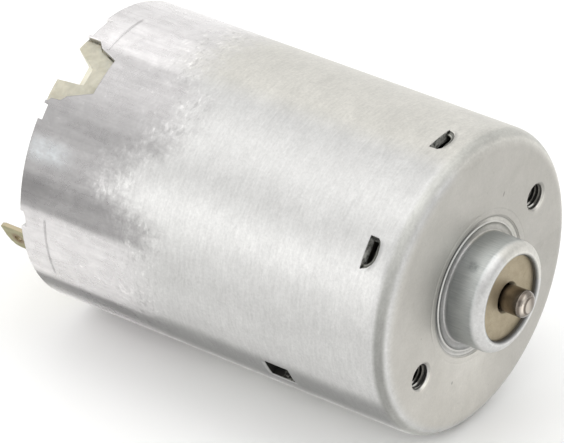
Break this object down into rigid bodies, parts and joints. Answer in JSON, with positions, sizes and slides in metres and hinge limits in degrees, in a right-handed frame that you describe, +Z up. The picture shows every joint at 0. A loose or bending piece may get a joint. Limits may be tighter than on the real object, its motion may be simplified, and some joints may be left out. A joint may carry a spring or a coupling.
{
  "type": "electric motor",
  "caption": "Brushed DC motor in a drawn steel can with a pilot boss, short round shaft, tapped front holes and rear tab terminals.",
  "frame": {"origin": "centre of the front mounting face, on the shaft axis", "axes": "-Y along the shaft, out of its free end; +Z up; +X to the right when facing the shaft end"},
  "size_m": [0.0358, 0.0631, 0.0358],
  "materials": {
    "zinc_steel": "dull bright zinc plate",
    "sintered_bronze": "oil-soaked sintered bronze",
    "ferrite": "ground ferrite",
    "spring_steel": "bright drawn",
    "ivory_plastic": "moulded, satin",
    "terminal_brass": "stamped, dull",
    "holder_brass": "stamped",
    "carbon": "copper-graphite block",
    "copper_braid": "bare braid",
    "ground_steel": "ground",
    "lamination": "stacked electrical steel",
    "green_insulator": "fibre sheet",
    "liner_paper": "insulating paper",
    "enamelled_wire": "enamelled copper wire",
    "phenolic": "moulded phenolic",
    "commutator_copper": "turned copper",
    "nylon": "moulded",
    "fibre_washer": "phenolic paper"
  },
  "bodies": {
    "housing": {"motor_can": "zinc_steel", "front_bearing": "sintered_bronze", "rear_bearing": "sintered_bronze", "magnet_a": "ferrite", "magnet_b": "ferrite", "magnet_clip_a": "spring_steel", "magnet_clip_b": "spring_steel", "end_cap": "ivory_plastic", "bearing_retainer": "spring_steel", "terminal_a": "terminal_brass", "terminal_b": "terminal_brass", "brush_holder_a": "holder_brass", "brush_holder_b": "holder_brass", "brush_spring_a": "spring_steel", "brush_spring_b": "spring_steel", "brush_lead_a": "copper_braid", "brush_lead_b": "copper_braid"},
    "rotor": {"shaft": "ground_steel", "armature_core": "lamination", "front_insulator": "green_insulator", "rear_insulator": "green_insulator", "slot_liners": "liner_paper", "armature_winding": "enamelled_wire", "commutator_hub": "phenolic", "commutator_bars": "commutator_copper", "front_spacer": "nylon", "front_thrust_washer": "fibre_washer", "rear_thrust_washer": "fibre_washer"},
    "brush_a": {"brush_a": "carbon"},
    "brush_b": {"brush_b": "carbon"}
  },
  "joints": [
    {"name": "shaft_spin", "type": "hinge", "parent": "housing", "child": "rotor", "pos_m": [0, 0, 0], "axis": [0, -1, 0], "continuous": true},
    {"name": "brush_a_slide", "type": "slide", "parent": "housing", "child": "brush_a", "axis": [0.8634, 0, 0.5045], "range_m": [0, 0.0015], "stiffness_N_per_m": 400, "springref_m": -0.001, "deforming": ["brush_spring_a", "brush_lead_a"]},
    {"name": "brush_b_slide", "type": "slide", "parent": "housing", "child": "brush_b", "axis": [-0.8634, 0, -0.5045], "range_m": [0, 0.0015], "stiffness_N_per_m": 400, "springref_m": -0.001, "deforming": ["brush_spring_b", "brush_lead_b"]}
  ]
}
